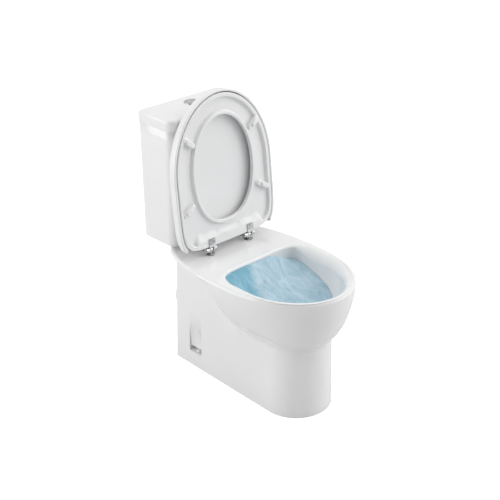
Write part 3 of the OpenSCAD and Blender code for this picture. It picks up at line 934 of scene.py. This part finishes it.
def build_lid():
    """The lid, from the middle of its top over its edge, round its wall and across its inside."""
    edge, crown = 10.0, 1.2
    rings = []
    for share in (0.06, 0.3, 0.55, 0.75, 0.9):
        z = LID_TOP - crown * share ** 3
        rings.append(scaled_ring(seat_outline(LID_OVER - edge), share, z))
    for i in range(11):
        across, down = curl(edge, 9.0, 90 - 9 * i)
        rings.append(flat_ring(seat_outline(LID_OVER - across), LID_TOP - crown - down))

    def wall_ring(grow, lift):
        highest = LID_TOP - LID_PANEL - 0.3
        plan = seat_outline(grow)
        return [(x, y, min(lid_wall_bottom(x, y) + lift, highest)) for x, y in plan]

    rings += [wall_ring(LID_OVER, 6), wall_ring(LID_OVER, 1.5), wall_ring(LID_OVER - 0.5, 0.4)]
    rings += [wall_ring(LID_OVER - 1.6, 0), wall_ring(LID_OVER - LID_WALL + 1.6, 0)]
    rings += [wall_ring(LID_OVER - LID_WALL + 0.5, 0.4), wall_ring(LID_OVER - LID_WALL, 1.5)]
    rings += [wall_ring(LID_OVER - LID_WALL, 6)]
    inside = LID_TOP - LID_PANEL
    fillet = 4.0
    for i in range(5):
        across, down = curl(fillet, fillet, 22.5 * i)
        rings.append(flat_ring(seat_outline(LID_OVER - LID_WALL - across), inside - down))
    for share in (0.9, 0.7, 0.4, 0.06):
        rings.append(scaled_ring(seat_outline(LID_OVER - LID_WALL - fillet), share, inside))
    lid = loft("seat_lid_moulding", rings, matrix=RAISED, sharp=50)
    place_piece(lid, "lid", "seat_plastic", "seat_lid")


def pill(length, width, z0, z1, r):
    """Rings of a block from z0 up or down to z1: a stadium in plan, its edge at z1 rounded by r."""
    steps = 10

    def plan(inset):
        w, half = width / 2 - inset, max(0.01, length / 2 - width / 2)
        out = []
        for cx, start in ((half, -90), (-half, 90)):
            for i in range(steps + 1):
                a = math.radians(start + 180 * i / steps)
                out.append((cx + w * math.cos(a), w * math.sin(a)))
        return out

    rings = [flat_ring(plan(0), z0), flat_ring(plan(0), z1 + r if z1 < z0 else z1 - r)]
    sign = -1 if z1 < z0 else 1
    for i in range(1, 6):
        t = math.radians(18 * i)
        rings.append(flat_ring(plan(r * (1 - math.cos(t))), z1 - sign * r + sign * r * math.sin(t)))
    return rings


def turned(rings, angle, x, y):
    """Rings turned about the vertical and then moved to a place."""
    c, s = math.cos(angle), math.sin(angle)
    return [
        [(x + px * c - py * s, y + px * s + py * c, pz) for px, py, pz in ring]
        for ring in rings
    ]


# Places of the buffers on one side, in the frame of the hinge axis
SEAT_BUFFERS = ((150.0, -140.0), (129.0, -339.0))
LID_BUFFERS = ((150.0, -165.0), (112.0, -378.0))


def build_buffers():
    """Each seat buffer is a bar across the channel with a round foot; the lid's are plain feet."""
    seat_parts, lid_parts = [], []
    for side in (-1, 1):
        for x, y in SEAT_BUFFERS:
            angle = math.atan2(y + SEAT_MID, side * x)
            foot_bottom = PAN_H + 0.3 - AXIS_Z
            bar = pill(52, 18, UNDER + CHANNEL, UNDER - 2.4, 4.0)
            bar = turned(bar, angle, side * x - side * 2, y)
            foot = turned(pill(27, 15, UNDER, foot_bottom, 3.0), angle, side * x, y)
            seat_parts += [loft("bar", bar, matrix=RAISED), loft("foot", foot, matrix=RAISED)]
        for x, y in LID_BUFFERS:
            foot = turned(pill(16, 14, LID_TOP - LID_PANEL, SEAT_TOP + 0.5, 2.0), 0, side * x, y)
            lid_parts.append(loft("foot", foot, matrix=RAISED))
    place_piece(joined("seat_buffer_pads", seat_parts), "seat", "seat_plastic", "seat_buffers")
    place_piece(joined("lid_buffer_pads", lid_parts), "lid", "seat_plastic", "lid_buffers")


# ---------- chrome, caps and the CAD nodes that stay ----------
def sleeve(bore_r, start, end):
    """Profile of a round sleeve with chamfered ends, as (radius, place along the axis)."""
    r, edge = KNUCKLE_R, KNUCKLE_EDGE
    return [
        (bore_r, start), (r - edge, start), (r, start + edge), (r, end - edge), (r - edge, end),
        (bore_r, end),
    ]


def build_posts():
    """Hinge posts, each a domed foot, a neck and a barrel, and the capped pins through them."""
    posts, pins = [], []
    foot = [
        (0.5, 372.0), (4.0, 372.0), (4.0, PAN_H + 1), (13.4, PAN_H + 1), (14.0, PAN_H + 1.6),
        (13.9, PAN_H + 2.4), (12.6, PAN_H + 3.2), (9.5, PAN_H + 3.8), (6.2, PAN_H + 4.2),
        (5.2, PAN_H + 4.8), (4.9, PAN_H + 6.0), (4.9, PAN_H + 12.0), (0.5, PAN_H + 12.0),
    ]
    for side in (-1, 1):
        x, y = side * HINGE_HALF, fwd(HINGE_FWD)
        posts.append(loft("foot", lathe(foot, (x, y, 0), 64)))
        barrel = lathe(sleeve(3.0, -POST_HALF, POST_HALF), (x, y, AXIS_Z), 64, "X")
        posts.append(loft("barrel", barrel, closed_loop=True))
    place_piece(joined("hinge_posts_chromed", posts), "pan_and_cistern", "chrome", "hinge_posts")
    end = KNUCKLE_START + KNUCKLE_W + 0.05
    cap = [
        (3.0, end), (5.6, end), (5.6, end + 0.5), (4.9, end + 1.1), (3.0, end + 1.5),
        (0.3, end + 1.7),
    ]
    pin = [(r, -x) for r, x in reversed(cap)] + cap
    for side in (-1, 1):
        pins.append(loft("pin", lathe(pin, (side * HINGE_HALF, fwd(HINGE_FWD), AXIS_Z), 40, "X")))
    place_piece(joined("hinge_pins_chromed", pins), "pan_and_cistern", "chrome", "hinge_pins")


def build_plates():
    """The plates on the seat and lid, softened, with a round knuckle over each one's eye."""
    for body, start in (("seat", KNUCKLE_START), ("lid", -KNUCKLE_START - KNUCKLE_W)):
        node = body + "_hinge_plates"
        parts = [softened(node, 0.7)]
        for side in (-1, 1):
            centre = (side * HINGE_HALF, fwd(HINGE_FWD), AXIS_Z)
            knuckle = lathe(sleeve(3.1, start, start + KNUCKLE_W), centre, 64, "X")
            parts.append(loft("knuckle", knuckle, closed_loop=True))
        place_piece(joined(node + "_chromed", parts), body, "chrome", node)


BEZEL_BORE_R = 16.0
KEY_EDGE = 1.2


def build_bezel():
    """The push plate's rolled bezel, and its barrel down through the cover."""
    roll = [
        (BEZEL_BORE_R, 0.0), (23.4, 0.0), (24.0, 0.5), (23.9, 1.3), (23.2, 2.4), (21.8, 3.2),
        (19.8, 3.6), (17.8, 3.5), (16.5, 3.1), (BEZEL_BORE_R, 2.4),
    ]
    bezel = lathe(roll, (0, fwd(BUTTON_FWD), CISTERN_TOP), 96)
    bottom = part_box("button_bezel")[0].z / MM
    barrel = [
        (BEZEL_BORE_R, bottom), (18.5, bottom), (18.5, CISTERN_TOP), (BEZEL_BORE_R, CISTERN_TOP),
    ]
    parts = [
        loft("bezel", bezel, closed_loop=True),
        loft("barrel", lathe(barrel, (0, fwd(BUTTON_FWD), 0), 64), closed_loop=True),
    ]
    place_piece(joined("button_bezel_chromed", parts), "cistern_cover", "chrome", "button_bezel")


def key_outline(side, inset):
    """Half a disc on one side of the push plate, its straight edge a little off the middle."""
    reach, flat = BUTTON_R - inset, 0.5 + inset
    limit = math.acos(flat / reach)
    turns = [limit * (1 - 2 * i / 32) for i in range(33)]
    return [(side * reach * math.cos(t), fwd(BUTTON_FWD) + reach * math.sin(t)) for t in turns]


def build_keys():
    """The two half-round keys, with softened edges."""
    top = CISTERN_TOP + 3.0
    for name, side in (("full", 1), ("half", -1)):
        rings = [
            flat_ring(key_outline(side, inset), top - down)
            for inset, down in ((0.3, 5), (0, 4.6), (0, 1.4))
        ]
        for i in range(1, 6):
            t = math.radians(18 * i)
            plan = key_outline(side, KEY_EDGE * (1 - math.cos(t)))
            rings.append(flat_ring(plan, top - KEY_EDGE + KEY_EDGE * math.sin(t) - 0.1))
        rings.append(flat_ring(key_outline(side, 3.0), top))
        key = loft(name + "_flush_key", rings, sharp=50)
        place_piece(key, name + "_button", "chrome", name + "_flush_button")


def build_caps():
    """The domed caps over the two floor screws."""
    base = NICHE_Z + 2
    profile = [
        (6.3, base), (8.4, base), (9.0, base + 0.6), (9.0, base + 2.8), (8.4, base + 4.4),
        (7.2, base + 6.0), (5.6, base + 7.3), (3.6, base + 8.1), (1.6, base + 8.45),
        (0.3, base + 8.5), (0.3, base + 4.0), (6.3, base + 4.0),
    ]
    caps = []
    for side in (-1, 1):
        rings = lathe(profile, (side * SCREW_HALF, fwd(SCREW_FWD), 0), 48)
        caps.append(loft("cap", rings, closed_loop=True))
    place_piece(joined("floor_screw_cap_domes", caps), "pan_and_cistern", "cap_plastic", "floor_screw_caps")


def finish_nodes():
    """The CAD nodes that stay get their slot's finish; hard-edged ones are shown softened."""
    soft = {
        "seat_hinge_screws": ("seat", 0.3), "lid_hinge_screws": ("lid", 0.3),
        "coupling_wing_nuts": ("pan_and_cistern", 0.6), "hinge_wing_nuts": ("pan_and_cistern", 0.6),
    }
    for row in frame["record"]["subparts"]:
        node, slot_name = row["node"], row["material_slot"]
        mesh = frame["nodes"][node].data
        mesh.materials.clear()
        mesh.materials.append(FINISHES[slot_name])
        if node in soft:
            body, width = soft[node]
            place_piece(softened(node, width), body, slot_name, node)


# ---------- studio ----------
def build_floor():
    """A wide pale floor just under the object, lit up a little for the camera alone."""
    half, n, z = 60.0, 24, -0.0005
    row = n + 1
    places = [mix(-half, half, i / n) for i in range(row)]
    points = [(x, y, z) for y in places for x in places]
    corners = [j * row + i for j in range(n) for i in range(n)]
    faces = [(c, c + 1, c + row + 1, c + row) for c in corners]
    mesh = bpy.data.meshes.new("studio_floor")
    mesh.from_pydata(points, [], faces)
    floor = new_object("studio_floor", mesh)
    mat = bpy.data.materials.new("pale_floor")
    mat.use_nodes = True
    shader = mat.node_tree.nodes["Principled BSDF"]
    shader.inputs["Base Color"].default_value = (0.7, 0.7, 0.7, 1.0)
    shader.inputs["Roughness"].default_value = 0.9
    shader.inputs["Specular IOR Level"].default_value = 0.2
    shader.inputs["Emission Color"].default_value = (1.0, 1.0, 1.0, 1.0)
    path = mat.node_tree.nodes.new("ShaderNodeLightPath")
    lift = mat.node_tree.nodes.new("ShaderNodeMath")
    lift.operation = "MULTIPLY"
    lift.inputs[1].default_value = 0.65
    mat.node_tree.links.new(path.outputs["Is Camera Ray"], lift.inputs[0])
    mat.node_tree.links.new(lift.outputs["Value"], shader.inputs["Emission Strength"])
    mesh.materials.append(mat)


def area_light(name, location, target, size, power):
    data = bpy.data.lights.new(name, "AREA")
    data.shape = "RECTANGLE"
    data.size, data.size_y = size
    data.energy = power
    lamp = bpy.data.objects.new(name, data)
    lamp.location = location
    lamp.rotation_euler = (Vector(target) - Vector(location)).to_track_quat("-Z", "Y").to_euler()
    bpy.context.scene.collection.objects.link(lamp)


# Each lamp's name, place, target and size in metres, and power in watts
LAMPS = (
    ("key_left", (-3.2, 1.7, 1.2), (0, 0, 0.4), (3.0, 2.2), 49),
    ("fill_right", (2.6, -2.2, 2.2), (0, 0, 0.5), (3.2, 3.2), 58),
    ("top_soft", (0.2, -0.8, 3.6), (0, 0, 0.4), (3.4, 3.4), 12),
)
# Where the dark side of the room lies, as seen in the glossy pieces
DARK_SIDE = (-0.68, -0.7, -0.14)


def build_world():
    """A white room with a dark side, which mirror-like reflections see as a sharper dark patch."""
    world = bpy.data.worlds.new("studio_world")
    bpy.context.scene.world = world
    world.use_nodes = True
    nodes, links = world.node_tree.nodes, world.node_tree.links
    ground = nodes["Background"]
    ground.inputs["Strength"].default_value = 0.86
    coords = nodes.new("ShaderNodeTexCoord")
    lobe = nodes.new("ShaderNodeVectorMath")
    lobe.operation = "DOT_PRODUCT"
    lobe.inputs[1].default_value = Vector(DARK_SIDE).normalized()
    links.new(coords.outputs["Generated"], lobe.inputs[0])
    white = (1.0, 1.0, 1.0)
    toward = lobe.outputs["Value"]
    soft = colour_ramp(world.node_tree, toward, 0.35, white, 0.9, (0.02, 0.02, 0.021))
    sharp = colour_ramp(world.node_tree, toward, 0.6, white, 0.72, (0.004, 0.004, 0.004))
    path = nodes.new("ShaderNodeLightPath")
    seen = colour_blend(world.node_tree, path.outputs["Is Glossy Ray"], soft, sharp)
    links.new(seen, ground.inputs["Color"])


CAMERA_PLACE = (-2.1627, -2.2024, 1.9345)
CAMERA_TILT = 64.1
CAMERA_TURN = -44.11
CAMERA_LENS = 84.33


def build_camera():
    data = bpy.data.cameras.new("studio_camera")
    data.lens = CAMERA_LENS
    data.sensor_width = 36.0
    camera = bpy.data.objects.new("studio_camera", data)
    camera.location = CAMERA_PLACE
    camera.rotation_euler = (math.radians(CAMERA_TILT), 0.0, math.radians(CAMERA_TURN))
    bpy.context.scene.collection.objects.link(camera)
    bpy.context.scene.camera = camera


build_camera()
build_floor()
for lamp_values in LAMPS:
    area_light(*lamp_values)
build_world()
finish_nodes()
build_pan()
build_water()
build_tank()
build_cover()
build_seat()
build_lid()
build_buffers()
build_posts()
build_plates()
build_bezel()
build_keys()
build_caps()
bpy.context.scene.view_settings.view_transform = "Standard"
